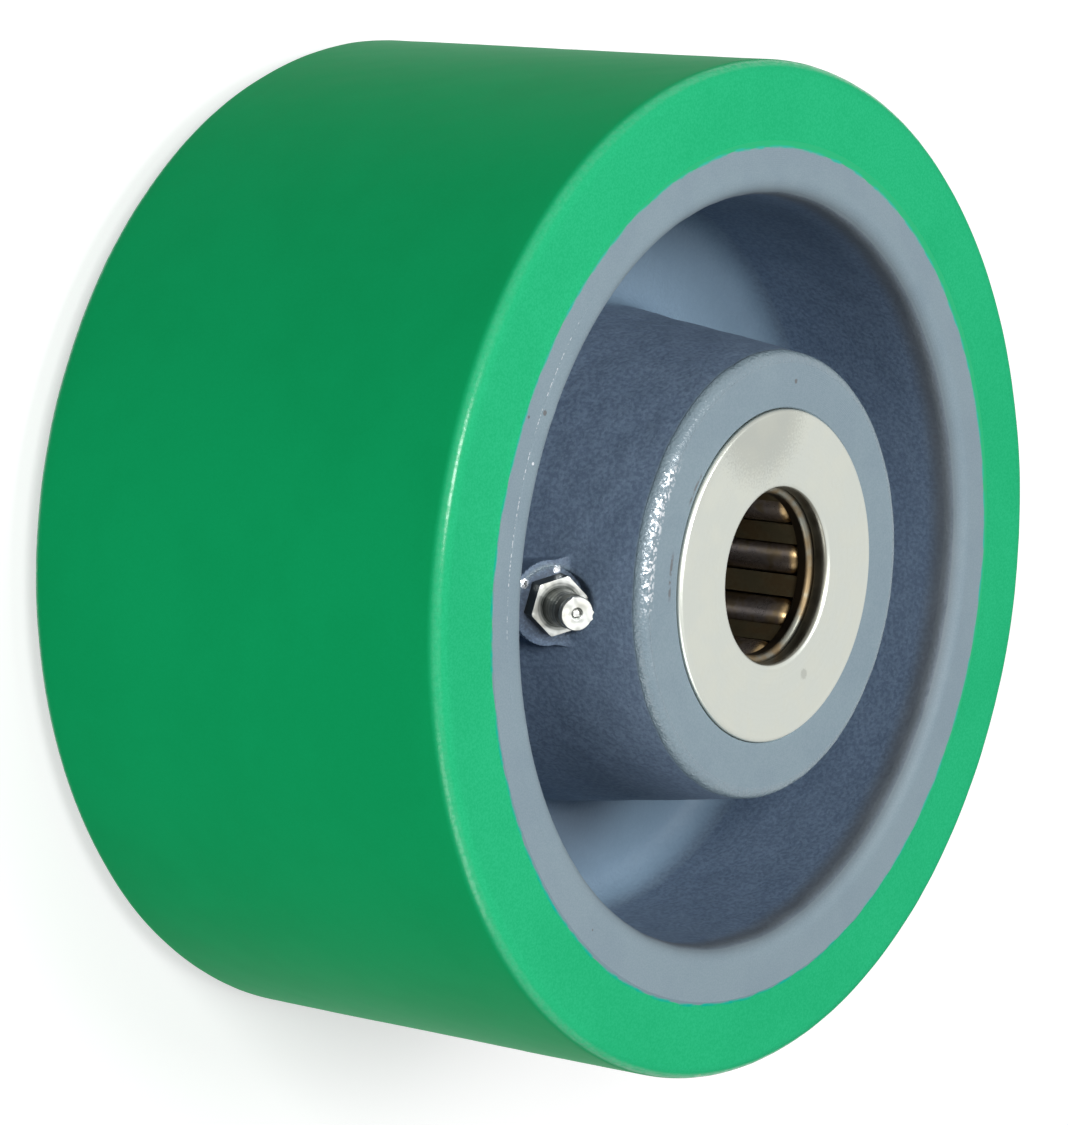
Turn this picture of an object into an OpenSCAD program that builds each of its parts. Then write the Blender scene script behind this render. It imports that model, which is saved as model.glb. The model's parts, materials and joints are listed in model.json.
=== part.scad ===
// Heavy caster wheel: a polyurethane tread moulded on a cast iron core that turns on a
// caged roller bearing. The wheel stands on its end, with its axis along Z, and the origin
// is the middle of its bore. The grease fitting is in the upper recess, towards +X.

/* [Tread] */
// Diameter of the wheel over the tread
tread_d = 203.2; // [190:0.1:230]
// Width of the tread and of the rim under it
tread_w = 101.6; // [90:0.1:130]
// Thickness of the tread from the rim to the ground
tread_t = 15.9; // [10:0.1:17]
// Radius of the tread's shoulders
tread_edge_r = 3.2; // [1:0.1:5]

/* [Rim] */
// Radial width of the flat on each side of the rim
rim_face_w = 6.7; // [5:0.1:10]
// Radius of the rim's inner edges
rim_edge_r = 4; // [1:0.1:5]
// Draft of the rim's inner wall, in degrees
rim_draft = 1; // [0.5:0.1:2]
// Fillet between the rim and the web
rim_fillet = 7; // [3:0.1:8]

/* [Web] */
// Thickness of the web between hub and rim
web_t = 14; // [10:0.1:24]

/* [Hub] */
// Diameter of the hub at its end faces, before their edges are rounded
hub_d = 88.6; // [84:0.1:94]
// How far the hub's end faces stand out past the tread
hub_proud = 4.3; // [1:0.1:6]
// Draft of the hub's outside, in degrees
hub_draft = 8; // [2:0.1:9]
// Radius of the hub's outer edges
hub_edge_r = 2.2; // [0.5:0.1:3]
// Fillet between the hub and the web
hub_fillet = 4; // [2:0.1:6]

/* [Retaining washers] */
// Outer diameter of a washer
washer_d = 66.3; // [60:0.1:72]
// Diameter of the hole in a washer
washer_hole_d = 35; // [34:0.1:38]
// Thickness of a washer
washer_t = 3.175; // [2.5:0.005:4]
// How far a washer stands out of the hub's face
washer_proud = 0.8; // [0.3:0.1:1.5]
// Radius of a washer's outer edge
washer_rim_r = 1.2; // [0.3:0.1:2]
// Radius of the edge of a washer's hole
washer_lip_r = 1.2; // [0.5:0.1:2]
// Gap around a washer in its seat
washer_gap = 0.15; // [0.05:0.01:0.4]

/* [Roller bearing] */
// Diameter of the axle that the wheel turns on
axle_d = 31.75; // [30:0.01:32.5]
// Diameter of a roller
roller_d = 8.6; // [7.5:0.01:8.8]
// Number of rollers
roller_count = 10; // [8:1:11]
// Radius of the edges of a roller's ends
roller_edge_r = 0.9; // [0.3:0.1:1.5]
// Clearance between the axle and a roller
axle_fit = 0.075; // [0.02:0.005:0.1]
// Clearance between a roller and the hub's bore
race_fit = 0.05; // [0.02:0.005:0.1]
// Thickness of the cage's end rings
cage_ring_t = 2.8; // [2:0.1:4]
// Radius of the inner edge of the end rings
cage_lip_r = 1.1; // [0.5:0.1:1.8]
// Clearance between the end rings and the axle
cage_bore_gap = 0.275; // [0.15:0.005:0.4]
// Clearance between the cage and the hub's bore
cage_race_gap = 0.35; // [0.2:0.01:0.6]
// Diameter of the rivet at each end of a cage bar
rivet_d = 2.4; // [1.5:0.1:2.6]
// Clearance around a rivet in its end ring
rivet_gap = 0.05; // [0.02:0.01:0.1]
// Clearance between a cage bar and a roller
bar_gap = 0.3; // [0.2:0.01:0.5]
// End play of the cage between the washers, and of the rollers in the cage, at each end
end_play = 0.3; // [0.2:0.01:0.6]

/* [Grease fitting] */
// Lean of the fitting away from square to the wheel's axis, in degrees
fitting_lean = 60; // [50:1:65]
// Depth of the fitting's seat below the side of the tread
fitting_drop = 13.9; // [10:0.1:20]
// Height of the middle of the fitting's seat above the hub's outside
fitting_rise = 2.2; // [1:0.1:4]
// Diameter of the cast boss that the fitting is screwed into
boss_d = 16; // [14.5:0.1:20]
// Diameter of the flat cut around the seat
spotface_d = 13.5; // [12.5:0.1:19]
// Diameter of the fitting's threaded shank
shank_d = 9.7; // [9:0.1:10]
// Length of the threaded shank
shank_len = 6.4; // [5:0.1:8]
// Clearance around the shank in its hole
shank_gap = 0.05; // [0.02:0.01:0.1]
// Diameter of the passage from the fitting to the bearing
passage_d = 4.8; // [3:0.1:6]
// Width of the hexagon across its flats
hex_af = 10.5; // [10:0.1:11.5]
// Height of the hexagon
hex_t = 3.9; // [3:0.1:5]
// Diameter of the flat on top of the hexagon, inside its chamfered corners
hex_flat_d = 11.7; // [9:0.1:12]
// How far the hexagon is turned when it is tight, in degrees
hex_turn = 12.5; // [0:0.5:59.5]
// Diameter of the round shoulder above the hexagon
shoulder_d = 7.4; // [7:0.1:9]
// Diameter that the shoulder narrows to at its top
shoulder_top_d = 6.8; // [6.2:0.1:9]
// Diameter of the fitting's neck, below its head
neck_d = 5.6; // [4.5:0.1:6]
// Height of the straight part of the neck
neck_h = 0.6; // [0.3:0.1:1]
// Diameter of the fitting's head
head_d = 6.7; // [6.2:0.1:7]
// Height of the round band of the head that a coupler grips
head_band_h = 1; // [0.6:0.1:1.4]
// Diameter of the flat nose of the head
nose_d = 6.3; // [3:0.1:6.4]
// Height of the chamfer between that band and the nose
nose_chamfer_h = 0.3; // [0.2:0.1:1]
// Height of the fitting above the hexagon
head_h = 8.4; // [7:0.1:9]
// Diameter of the check ball
ball_d = 2.4; // [2:0.1:2.6]
// Diameter of the opening in the nose, and of the outlet at the shank's end
orifice_d = 1.6; // [1.2:0.1:1.8]
// Depth of the opening in the nose before the ball's seat
orifice_h = 0.35; // [0.2:0.05:0.6]
// Diameter of the chamber behind the ball
chamber_d = 3; // [2.8:0.1:3.2]
// Clearance between the ball at rest and its seat
ball_gap = 0.05; // [0.02:0.01:0.1]
// Wire diameter of the ball's spring
wire_d = 0.3; // [0.2:0.05:0.4]
// Number of turns of the ball's spring
spring_turns = 6; // [5:1:7]
// Clearance between the spring and the chamber's wall and floor, and between it and the ball
spring_gap = 0.05; // [0.02:0.01:0.1]

/* [Hidden] */
$fn = 96;
// A cut runs this far past the surface that it opens
past = 1;

// Tread, rim and web
tread_r = tread_d / 2;
rim_r = tread_r - tread_t;
face_r = rim_r - rim_face_w;
side_z = tread_w / 2;
web_z = web_t / 2;

// Hub
hub_z = side_z + hub_proud;
race_r = axle_d / 2 + axle_fit + roller_d + race_fit;

// Retaining washers
washer_r = washer_d / 2;
washer_top = hub_z + washer_proud;
washer_bottom = washer_top - washer_t;

// Roller bearing
pitch_r = axle_d / 2 + axle_fit + roller_d / 2;
roller_step = 360 / roller_count;
cage_bore_r = axle_d / 2 + cage_bore_gap;
cage_r = race_r - cage_race_gap;
cage_top = washer_bottom - end_play;
cage_inner = cage_top - cage_ring_t;
roller_z = cage_inner - end_play;
bar_in_r = cage_bore_r + cage_lip_r;

// Grease fitting, which stands along the line from its seat that leans away from +X
seat_z = side_z - fitting_drop;
seat_r = hub_outside(seat_z) + fitting_rise;
boss_len = boss_d / cos(fitting_lean) + fitting_rise;
passage_len = (seat_r - race_r) / cos(fitting_lean) + passage_d;
nose_z = hex_t + head_h;
band_top = nose_z - nose_chamfer_h;
band_bottom = band_top - head_band_h;
neck_top = band_bottom - (head_d - neck_d) / 2;
seat_mouth_z = nose_z - orifice_h;
ball_z = seat_mouth_z + orifice_d / 2 - (ball_d / 2 + ball_gap) * sqrt(2);
chamber_top = seat_mouth_z - (chamber_d - orifice_d) / 2;
chamber_bottom = hex_t;
coil_r = (chamber_d - wire_d) / 2 - spring_gap;
coil_low = chamber_bottom + wire_d / 2 + spring_gap;
coil_high = ball_z - sqrt(pow((ball_d + wire_d) / 2 + spring_gap, 2) - pow(coil_r, 2));

function pad2(n) = n < 10 ? str("0", n) : str(n);
BARS = [for (i = [1:roller_count]) str("cage_bar_", pad2(i))];
ROLLERS = [for (i = [1:roller_count]) str("roller_", pad2(i))];

// Radius of the hub's tapered outside at height z, and of the rim's inner wall
function hub_outside(z) = hub_d / 2 + (hub_z - z) * tan(hub_draft);
function rim_inside(z) = face_r - rim_edge_r / cos(rim_draft) - (side_z - rim_edge_r - z) * tan(rim_draft);

// Puts its children on the fitting's line, with the seat at their z = 0
module on_fitting_line() {
    translate([seat_r, 0, seat_z]) rotate([0, 90 - fitting_lean, 0]) children();
}

// A rectangle from [r0, z0] to [r1, z1] with a true arc at each corner: radii are given
// anticlockwise from the lower inner corner
module rounded_box(r0, z0, r1, z1, radii) {
    corners = [[r0, z0, 1, 1], [r1, z0, -1, 1], [r1, z1, -1, -1], [r0, z1, 1, -1]];
    difference() {
        translate([r0, z0]) square([r1 - r0, z1 - z0]);
        for (i = [0:3]) if (radii[i] > 0) corner_cut(corners[i], radii[i]);
    }
}

// What rounding takes off one corner of a box; at holds the corner and the way in from it
module corner_cut(at, r) {
    translate([at[0], at[1]]) scale_to_quadrant(at[2], at[3]) difference() {
        translate([-past, -past]) square(r + past);
        translate([r, r]) circle(r);
    }
}

// Mirrors its children into the quadrant that the signs sx and sy name
module scale_to_quadrant(sx, sy) {
    mirror([sx < 0 ? 1 : 0, 0]) mirror([0, sy < 0 ? 1 : 0]) children();
}

module tread() {
    e = min(tread_edge_r, tread_t / 2);
    color([0.10, 0.66, 0.42]) rotate_extrude()
        rounded_box(rim_r, -side_z, tread_r, side_z, [0, e, e, 0]);
}

// Half section of one recess: the tapered hub, its fillet, the web, the rim's fillet, the
// drafted wall and the rounded edge at the mouth
module recess_section() {
    hub_c = [hub_outside(web_z + hub_fillet) + hub_fillet / cos(hub_draft), web_z + hub_fillet];
    rim_c = [rim_inside(web_z + rim_fillet) - rim_fillet / cos(rim_draft), web_z + rim_fillet];
    edge_c = [face_r, side_z - rim_edge_r];
    top = hub_z + past;
    difference() {
        polygon([
            [hub_outside(top), top],
            hub_c - hub_fillet * [cos(hub_draft), sin(hub_draft)],
            [hub_c[0], web_z],
            [rim_c[0], web_z],
            rim_c + rim_fillet * [cos(rim_draft), -sin(rim_draft)],
            edge_c - rim_edge_r * [cos(rim_draft), -sin(rim_draft)],
            edge_c,
            [face_r, side_z],
            [rim_r + past, side_z],
            [rim_r + past, top]
        ]);
        translate(edge_c) circle(rim_edge_r);
    }
    translate(hub_c) circle(hub_fillet);
    translate(rim_c) circle(rim_fillet);
}

// What rounding takes off the outer edge of a hub face
module hub_edge_section() {
    c = [hub_outside(hub_z - hub_edge_r) - hub_edge_r / cos(hub_draft), hub_z - hub_edge_r];
    difference() {
        polygon([
            c,
            [c[0], hub_z + past],
            [hub_outside(hub_z) + past, hub_z + past],
            [hub_outside(c[1]) + past, c[1]],
            c + hub_edge_r * [cos(hub_draft), sin(hub_draft)]
        ]);
        translate(c) circle(hub_edge_r);
    }
}

// The core turned about the wheel's axis, without its boss and its drilled holes
module turned_core() {
    seat_floor_r = washer_r + washer_gap;
    rotate_extrude() difference() {
        translate([race_r, -hub_z]) square([rim_r - race_r, 2 * hub_z]);
        both_sides_2d() recess_section();
        both_sides_2d() hub_edge_section();
        both_sides_2d() translate([race_r - past, washer_bottom])
            square([seat_floor_r - race_r + past, hub_z]);
    }
}

// Puts one flat child at each end of a half section
module both_sides_2d() {
    children();
    mirror([0, 1]) children();
}

module wheel_core() {
    color([0.36, 0.40, 0.50]) difference() {
        union() {
            turned_core();
            intersection() {
                on_fitting_line() translate([0, 0, -boss_len]) cylinder(d = boss_d, h = boss_len);
                fitting_boss_limit();
            }
        }
        on_fitting_line() {
            cylinder(d = spotface_d, h = boss_len);
            translate([0, 0, -shank_len - past]) cylinder(d = shank_d + 2 * shank_gap, h = boss_len);
            translate([0, 0, -passage_len]) cylinder(d = passage_d, h = passage_len);
        }
    }
}

// The boss starts inside the hub's wall and reaches no lower than the web
module fitting_boss_limit() {
    difference() {
        translate([0, 0, web_z / 2]) cylinder(r = rim_r, h = hub_z);
        cylinder(r = (race_r + hub_d / 2) / 2, h = 2 * hub_z);
    }
}

// One washer at the wheel's upper end
module washer() {
    color([0.80, 0.79, 0.74]) rotate_extrude()
        rounded_box(washer_hole_d / 2, washer_bottom, washer_r, washer_top,
                    [0, 0, washer_rim_r, washer_lip_r]);
}

module front_washer() {
    washer();
}

module rear_washer() {
    mirror([0, 0, 1]) washer();
}

// The end ring of the cage at the wheel's upper end, with a rivet hole for each bar
module cage_ring() {
    color([0.55, 0.48, 0.38]) difference() {
        rotate_extrude() rounded_box(cage_bore_r, cage_inner, cage_r, cage_top, [0, 0, 0, cage_lip_r]);
        for (i = [0:roller_count - 1]) rotate((i + 0.5) * roller_step)
            translate([pitch_r, 0, cage_inner - past])
                cylinder(d = rivet_d + 2 * rivet_gap, h = cage_ring_t + 2 * past, $fn = 32);
    }
}

module front_cage_ring() {
    cage_ring();
}

module rear_cage_ring() {
    mirror([0, 0, 1]) cage_ring();
}

// The bar of the cage between roller i and the next, hollowed to follow both of them
module cage_bar(i) {
    color([0.42, 0.37, 0.30]) rotate((i + 0.5) * roller_step) {
        translate([0, 0, -cage_inner]) linear_extrude(2 * cage_inner) intersection() {
            difference() {
                circle(cage_r);
                circle(bar_in_r);
                for (s = [-1, 1]) rotate(s * roller_step / 2) translate([pitch_r, 0])
                    circle(roller_d / 2 + bar_gap);
            }
            translate([bar_in_r / 2, -roller_d / 2]) square([cage_r, roller_d]);
        }
        translate([pitch_r, 0, -cage_top]) cylinder(d = rivet_d, h = 2 * cage_top, $fn = 32);
    }
}

// Roller i of the bearing, with rounded ends
module roller(i) {
    color([0.50, 0.48, 0.46]) rotate(i * roller_step) translate([pitch_r, 0, 0]) rotate_extrude()
        rounded_box(0, -roller_z, roller_d / 2, roller_z, [0, roller_edge_r, roller_edge_r, 0]);
}

// Half section of the fitting from its seat up: shoulder, neck, head and nose
module fitting_top_section() {
    neck_bottom = neck_top - neck_h;
    polygon([
        [0, 0],
        [shoulder_d / 2, 0],
        [shoulder_d / 2, hex_t],
        [shoulder_top_d / 2, neck_bottom - (shoulder_top_d - neck_d) / 2],
        [neck_d / 2, neck_bottom],
        [neck_d / 2, neck_top],
        [head_d / 2, band_bottom],
        [head_d / 2, band_top],
        [nose_d / 2, nose_z],
        [0, nose_z]
    ]);
}

// The hexagon, with the corners of its upper face turned off at 30 degrees
module hexagon() {
    corner_r = hex_af / sqrt(3);
    flat_r = hex_flat_d / 2;
    intersection() {
        cylinder(r = corner_r, h = hex_t, $fn = 6);
        rotate_extrude() polygon([
            [0, 0],
            [corner_r, 0],
            [corner_r, hex_t - (corner_r - flat_r) * tan(30)],
            [flat_r, hex_t],
            [0, hex_t]
        ]);
    }
}

// The way through the fitting: opening, ball seat, spring chamber and outlet
module fitting_way() {
    rotate_extrude() polygon([
        [0, nose_z + past],
        [orifice_d / 2, nose_z + past],
        [orifice_d / 2, seat_mouth_z],
        [chamber_d / 2, chamber_top],
        [chamber_d / 2, chamber_bottom],
        [orifice_d / 2, chamber_bottom],
        [orifice_d / 2, -shank_len - past],
        [0, -shank_len - past]
    ]);
}

module grease_fitting() {
    color([0.74, 0.72, 0.66]) on_fitting_line() difference() {
        union() {
            translate([0, 0, -shank_len]) cylinder(d = shank_d, h = shank_len + hex_t / 2);
            rotate(hex_turn) hexagon();
            rotate_extrude() fitting_top_section();
        }
        fitting_way();
    }
}

module check_ball() {
    color([0.80, 0.80, 0.80]) on_fitting_line() translate([0, 0, ball_z]) sphere(d = ball_d, $fn = 48);
}

// Height of the ball's spring t turns up: its first and last turns are closed
function coil_z(t) =
    let (
        closed = wire_d + spring_gap,
        free = coil_high - coil_low - 2 * closed,
        share = min(max((t - 1) / (spring_turns - 2), 0), 1)
    ) coil_low + closed * (min(t, 1) + max(t - spring_turns + 1, 0)) + free * share;

// Spring that holds the ball up: a round wire swept along a helix between the chamber's
// floor and the ball
module check_spring() {
    steps = 12;
    sides = 6;
    rings = steps * spring_turns;
    points = [for (k = [0:rings]) for (j = [0:sides - 1])
        let (
            turn = 360 * k / steps,
            out = coil_r + wire_d / 2 * cos(360 * j / sides),
            up = coil_z(k / steps) + wire_d / 2 * sin(360 * j / sides)
        ) [out * cos(turn), out * sin(turn), up]];
    walls = [for (k = [0:rings - 1]) for (j = [0:sides - 1])
        let (a = k * sides + j, b = k * sides + (j + 1) % sides) [a, b, b + sides, a + sides]];
    first = [for (j = [0:sides - 1]) sides - 1 - j];
    last = [for (j = [0:sides - 1]) rings * sides + j];
    color([0.6, 0.6, 0.6]) on_fitting_line()
        polyhedron(points, concat(walls, [first, last]), convexity = 8);
}

tread();
wheel_core();
front_washer();
rear_washer();
front_cage_ring();
rear_cage_ring();
for (i = [0:roller_count - 1]) cage_bar(i);
for (i = [0:roller_count - 1]) roller(i);
grease_fitting();
check_ball();
check_spring();
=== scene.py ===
"""Looks of a heavy caster wheel: its surfaces, finishes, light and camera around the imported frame."""

import json
import logging
import math
from dataclasses import dataclass
from enum import Enum
from inspect import signature
from typing import Any, Callable, Sequence

import bmesh
import bpy
import numpy as np
from mathutils import Matrix, Vector


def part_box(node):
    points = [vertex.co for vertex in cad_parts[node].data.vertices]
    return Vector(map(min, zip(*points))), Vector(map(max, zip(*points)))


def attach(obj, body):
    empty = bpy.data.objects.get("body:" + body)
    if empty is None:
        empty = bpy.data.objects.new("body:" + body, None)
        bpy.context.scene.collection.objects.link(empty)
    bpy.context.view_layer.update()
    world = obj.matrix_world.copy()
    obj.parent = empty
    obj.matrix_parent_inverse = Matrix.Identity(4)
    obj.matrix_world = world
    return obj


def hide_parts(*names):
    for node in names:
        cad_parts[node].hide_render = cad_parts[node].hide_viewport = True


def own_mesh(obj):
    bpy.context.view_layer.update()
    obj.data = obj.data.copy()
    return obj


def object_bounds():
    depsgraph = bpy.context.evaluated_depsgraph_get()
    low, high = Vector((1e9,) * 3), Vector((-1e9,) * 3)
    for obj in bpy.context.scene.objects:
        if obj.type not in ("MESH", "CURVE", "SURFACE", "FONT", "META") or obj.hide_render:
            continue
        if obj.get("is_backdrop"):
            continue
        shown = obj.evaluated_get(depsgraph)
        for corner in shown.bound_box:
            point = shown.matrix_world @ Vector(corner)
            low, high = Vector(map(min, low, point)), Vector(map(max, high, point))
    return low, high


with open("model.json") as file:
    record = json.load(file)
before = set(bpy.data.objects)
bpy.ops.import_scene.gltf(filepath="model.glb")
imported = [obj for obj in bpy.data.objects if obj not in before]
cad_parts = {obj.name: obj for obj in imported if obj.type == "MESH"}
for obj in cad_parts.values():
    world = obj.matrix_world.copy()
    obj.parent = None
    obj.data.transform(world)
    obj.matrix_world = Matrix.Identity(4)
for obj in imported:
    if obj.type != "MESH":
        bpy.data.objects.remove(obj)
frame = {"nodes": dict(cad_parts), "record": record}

log = logging.getLogger("caster_wheel")

# Places closer than SAME, in metres, count as one, and an edge steeper than SHARP isn't smoothed
MM = 0.001
SAME = 1e-6
SHARP = math.radians(32)

Colour = Point = tuple[float, float, float]


class Surface(float, Enum):
    """How a stretch of the core's section was made; the value is kept on the mesh for its finish."""

    MACHINED = 0.0
    RIM_LIP = 0.02
    EDGE = 0.3
    RIM_ROUND = 0.6
    # Painted light: the web's mark, between machined and cast, gives it a paler colour than the cast skin, as
    # if more light fell there; it also lowers its cast relief
    WEB = 0.62
    RIM_FILLET = 0.7
    HUB_FILLET = 0.75
    CAST = 1.0


# Mesh building

class Section:
    """A path in the half plane of radius and height: straight runs and arcs, with a mark at each point."""

    def __init__(self, r: float, z: float, mark: float = Surface.MACHINED) -> None:
        """Starts the path at radius r and height z, in metres."""
        self.points: list[tuple[float, float]] = [(r, z)]
        self.marks: list[float] = [mark]

    def line(self, r: float, z: float, step: float, mark: float = Surface.MACHINED) -> "Section":
        """Adds a straight run.

        Args:
            r: radius of its end.
            z: height of its end.
            step: longest distance between two points.
            mark: value that the finish reads along the run.

        Returns:
            The section itself, so that runs can be chained.
        """
        r0, z0 = self.points[-1]
        count = max(1, math.ceil(math.hypot(r - r0, z - z0) / step - SAME))
        for share in np.linspace(0, 1, count + 1)[1:]:
            self.points.append((r0 + (r - r0) * share, z0 + (z - z0) * share))
            self.marks.append(mark)
        return self

    def lines(self, *runs: tuple[float, ...]) -> "Section":
        """Adds several straight runs, each as line takes it, and returns the section itself."""
        for run in runs:
            self.line(*run)
        return self

    def arc(self, centre: tuple[float, float], radius: float, start: float, end: float,
            count: int, mark: float = Surface.MACHINED) -> "Section":
        """Adds a round stretch: centre + radius * (cos a, sin a) for a from start to end.

        Args:
            centre: radius and height of the arc's centre.
            radius: radius of the arc.
            start: first angle, in degrees from the outward direction.
            end: last angle.
            count: number of steps.
            mark: value that the finish reads along the arc.

        Returns:
            The section itself.
        """
        for angle in np.radians(np.linspace(start, end, count + 1)):
            at = (centre[0] + radius * math.cos(angle), centre[1] + radius * math.sin(angle))
            if math.dist(at, self.points[-1]) > SAME / 10:
                self.points.append(at)
                self.marks.append(mark)
        return self

    def arrays(self) -> tuple[np.ndarray, np.ndarray]:
        """Returns the points as an (n, 2) array and the marks as an (n,) array."""
        return np.array(self.points), np.array(self.marks)


@dataclass(frozen=True)
class Waves:
    """Smooth noise that never repeats: a sum of plane waves of random direction and wavelength."""

    seed: int
    shortest: float
    longest: float
    count: int = 40

    def at(self, points: np.ndarray) -> np.ndarray:
        """Sum over the waves of sin(2 pi (point . direction) / wavelength + phase), scaled to spread 1.

        Args:
            points: (..., 3) places in metres.

        Returns:
            (...) values, mostly between -2 and 2.
        """
        rng = np.random.default_rng(self.seed)
        way = rng.normal(size=(self.count, 3))
        way /= np.linalg.norm(way, axis=1, keepdims=True)
        length = self.shortest * (self.longest / self.shortest) ** rng.random(self.count)
        phase = rng.random(self.count) * 2 * math.pi
        flat = points.reshape(-1, 3) @ (way / length[:, None]).T
        total = np.sin(2 * math.pi * flat + phase).sum(1)
        return (total * math.sqrt(2 / self.count)).reshape(points.shape[:-1])


def smooth_min(a: np.ndarray, b: np.ndarray, width: float) -> np.ndarray:
    """The smaller of a and b, with the corner between them rounded over width (a quadratic blend)."""
    near = np.clip(width - np.abs(a - b), 0, None)
    return np.minimum(a, b) - near * near / (4 * width)


def smooth_max(a: np.ndarray, b: np.ndarray, width: float) -> np.ndarray:
    """The larger of a and b, with the corner between them rounded over width."""
    return -smooth_min(-a, -b, width)


def bell(far: np.ndarray, width: float) -> np.ndarray:
    """A bell curve, exp(-(far / width)^2)."""
    return np.exp(-(far / width) ** 2)


def even_turn(count: int) -> np.ndarray:
    """Angles of count columns spread evenly over one turn, in radians."""
    return np.arange(count) * 2 * math.pi / count


def turned(profile: np.ndarray, turn: np.ndarray) -> np.ndarray:
    """Carries a profile round the axis: (r cos a, r sin a, z) for each point and each angle.

    Args:
        profile: (n, 2) radii and heights, or (n, m, 2) where they change round the turn.
        turn: (m,) angles in radians.

    Returns:
        (n, m, 3) points.
    """
    if profile.ndim == 2:
        profile = np.repeat(profile[:, None, :], len(turn), axis=1)
    r, z = profile[..., 0], profile[..., 1]
    return np.stack([r * np.cos(turn), r * np.sin(turn), z], axis=-1)


def turned_normals(profile: np.ndarray, turn: np.ndarray) -> np.ndarray:
    """Normals of a turned closed section: the way from one neighbour to the other, turned by 90 degrees.

    Args:
        profile: (n, 2) radii and heights.
        turn: (m,) angles in radians.

    Returns:
        (n, m, 3) unit vectors.
    """
    way = np.roll(profile, -1, axis=0) - np.roll(profile, 1, axis=0)
    normal = np.stack([way[:, 1], -way[:, 0]], axis=1)
    return turned(normal / np.maximum(np.linalg.norm(normal, axis=1, keepdims=True), SAME ** 2), turn)


def close_poles(mesh: bpy.types.Mesh) -> None:
    """Merges points that share a place, which turns each row of length nought into one pole.

    Args:
        mesh: mesh to mend.
    """
    work = bmesh.new()
    work.from_mesh(mesh)
    bmesh.ops.remove_doubles(work, verts=work.verts, dist=SAME / 10)
    work.to_mesh(mesh)
    work.free()


def new_object(name: str, data: bpy.types.ID) -> bpy.types.Object:
    """Adds an object with the given data to the scene."""
    made = bpy.data.objects.new(name, data)
    bpy.context.scene.collection.objects.link(made)
    return made


def dress(piece: bpy.types.Object, material: bpy.types.Material) -> None:
    """Gives a piece its finish."""
    piece.data.materials.clear()
    piece.data.materials.append(material)


def grid_piece(name: str, points: np.ndarray, marks: np.ndarray, material: bpy.types.Material, slot: str,
               node: str, body: str = "wheel", closed_rows: bool = True) -> bpy.types.Object:
    """Makes a closed mesh from a grid of points whose columns go once round, and ties it to the frame.

    Each cell between row i and i + 1 and column j and j + 1 is one four-sided face. Rows that have shrunk
    to a point are merged, and the faces are turned outwards by the sign of the enclosed volume.

    Args:
        name: name of the object.
        points: (rows, columns, 3) places in metres.
        marks: (rows,) or (rows, columns) values for the finish, kept as the attribute "mark".
        material: its finish.
        slot: not used.
        node: CAD node that it stands for.
        body: CAD body that it moves with.
        closed_rows: whether the last row joins the first one.

    Returns:
        The new object, linked to the scene.
    """
    rows, columns = points.shape[:2]
    i, j = np.meshgrid(np.arange(rows if closed_rows else rows - 1), np.arange(columns), indexing="ij")
    below, above, after = i * columns, (i + 1) % rows * columns, (j + 1) % columns
    quads = np.stack([below + j, above + j, above + after, below + after], -1).reshape(-1, 4)
    flat = points.reshape(-1, 3)
    a, b, c, d = (flat[quads[:, k]] for k in range(4))
    if (a * (np.cross(b, c) + np.cross(c, d))).sum() < 0:
        quads = quads[:, ::-1]
    mesh = bpy.data.meshes.new(name)
    mesh.vertices.add(len(flat))
    mesh.vertices.foreach_set("co", flat.astype(np.float32).ravel())
    mesh.loops.add(quads.size)
    mesh.loops.foreach_set("vertex_index", quads.astype(np.int32).ravel())
    mesh.polygons.add(len(quads))
    mesh.polygons.foreach_set("loop_start", np.arange(0, quads.size, 4, dtype=np.int32))
    layer = mesh.attributes.new("mark", "FLOAT", "POINT")
    value = np.broadcast_to(marks.reshape(rows, -1), (rows, columns))
    layer.data.foreach_set("value", value.astype(np.float32).ravel())
    mesh.update(calc_edges=True)
    mesh.validate()
    if not closed_rows:
        close_poles(mesh)
    mesh.shade_smooth()
    mesh.set_sharp_from_angle(angle=SHARP)
    piece = new_object(name, mesh)
    dress(piece, material)
    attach(piece, body)
    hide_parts(node)
    log.info("%s: %d points on %s for %s", name, len(mesh.vertices), body, node)
    return piece


# Shader building

def operator(operation: str, swapped: bool = False) -> Callable[["Value", "Operand"], "Value"]:
    """A method that joins a value and another operand by a Math node.

    Args:
        operation: Blender's name of what the node does.
        swapped: whether the value comes second.

    Returns:
        The method.
    """
    def join(value: "Value", other: "Operand" = 0.0) -> "Value":
        """The result of both."""
        return value.canvas.math(operation, *((other, value) if swapped else (value, other)))

    return join


class Value:
    """An output of a shader node, which can be added, multiplied and so on like a number."""

    __add__ = __radd__ = operator("ADD")
    __mul__ = __rmul__ = operator("MULTIPLY")
    __sub__, __rsub__ = operator("SUBTRACT"), operator("SUBTRACT", swapped=True)
    __truediv__, __rtruediv__ = operator("DIVIDE"), operator("DIVIDE", swapped=True)

    def __init__(self, canvas: "Canvas", socket: bpy.types.NodeSocket) -> None:
        """Keeps the socket and the canvas that its arithmetic goes on."""
        self.canvas, self.socket = canvas, socket

    def to(self, operation: str, other: "Operand" = 0.0) -> "Value":
        """This value, and another one where the operation takes two, through a Math node."""
        return self.canvas.math(operation, self, other)

    def ramp(self, low: float, high: float, to_low: float = 0.0, to_high: float = 1.0) -> "Value":
        """This with low..high mapped smoothly to to_low..to_high."""
        span = {"Value": self, "From Min": low, "From Max": high, "To Min": to_low, "To Max": to_high}
        return self.canvas.add("ShaderNodeMapRange", span, interpolation_type="SMOOTHSTEP")["Result"]


Operand = Value | float
Outputs = dict[str | int, Value]


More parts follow.
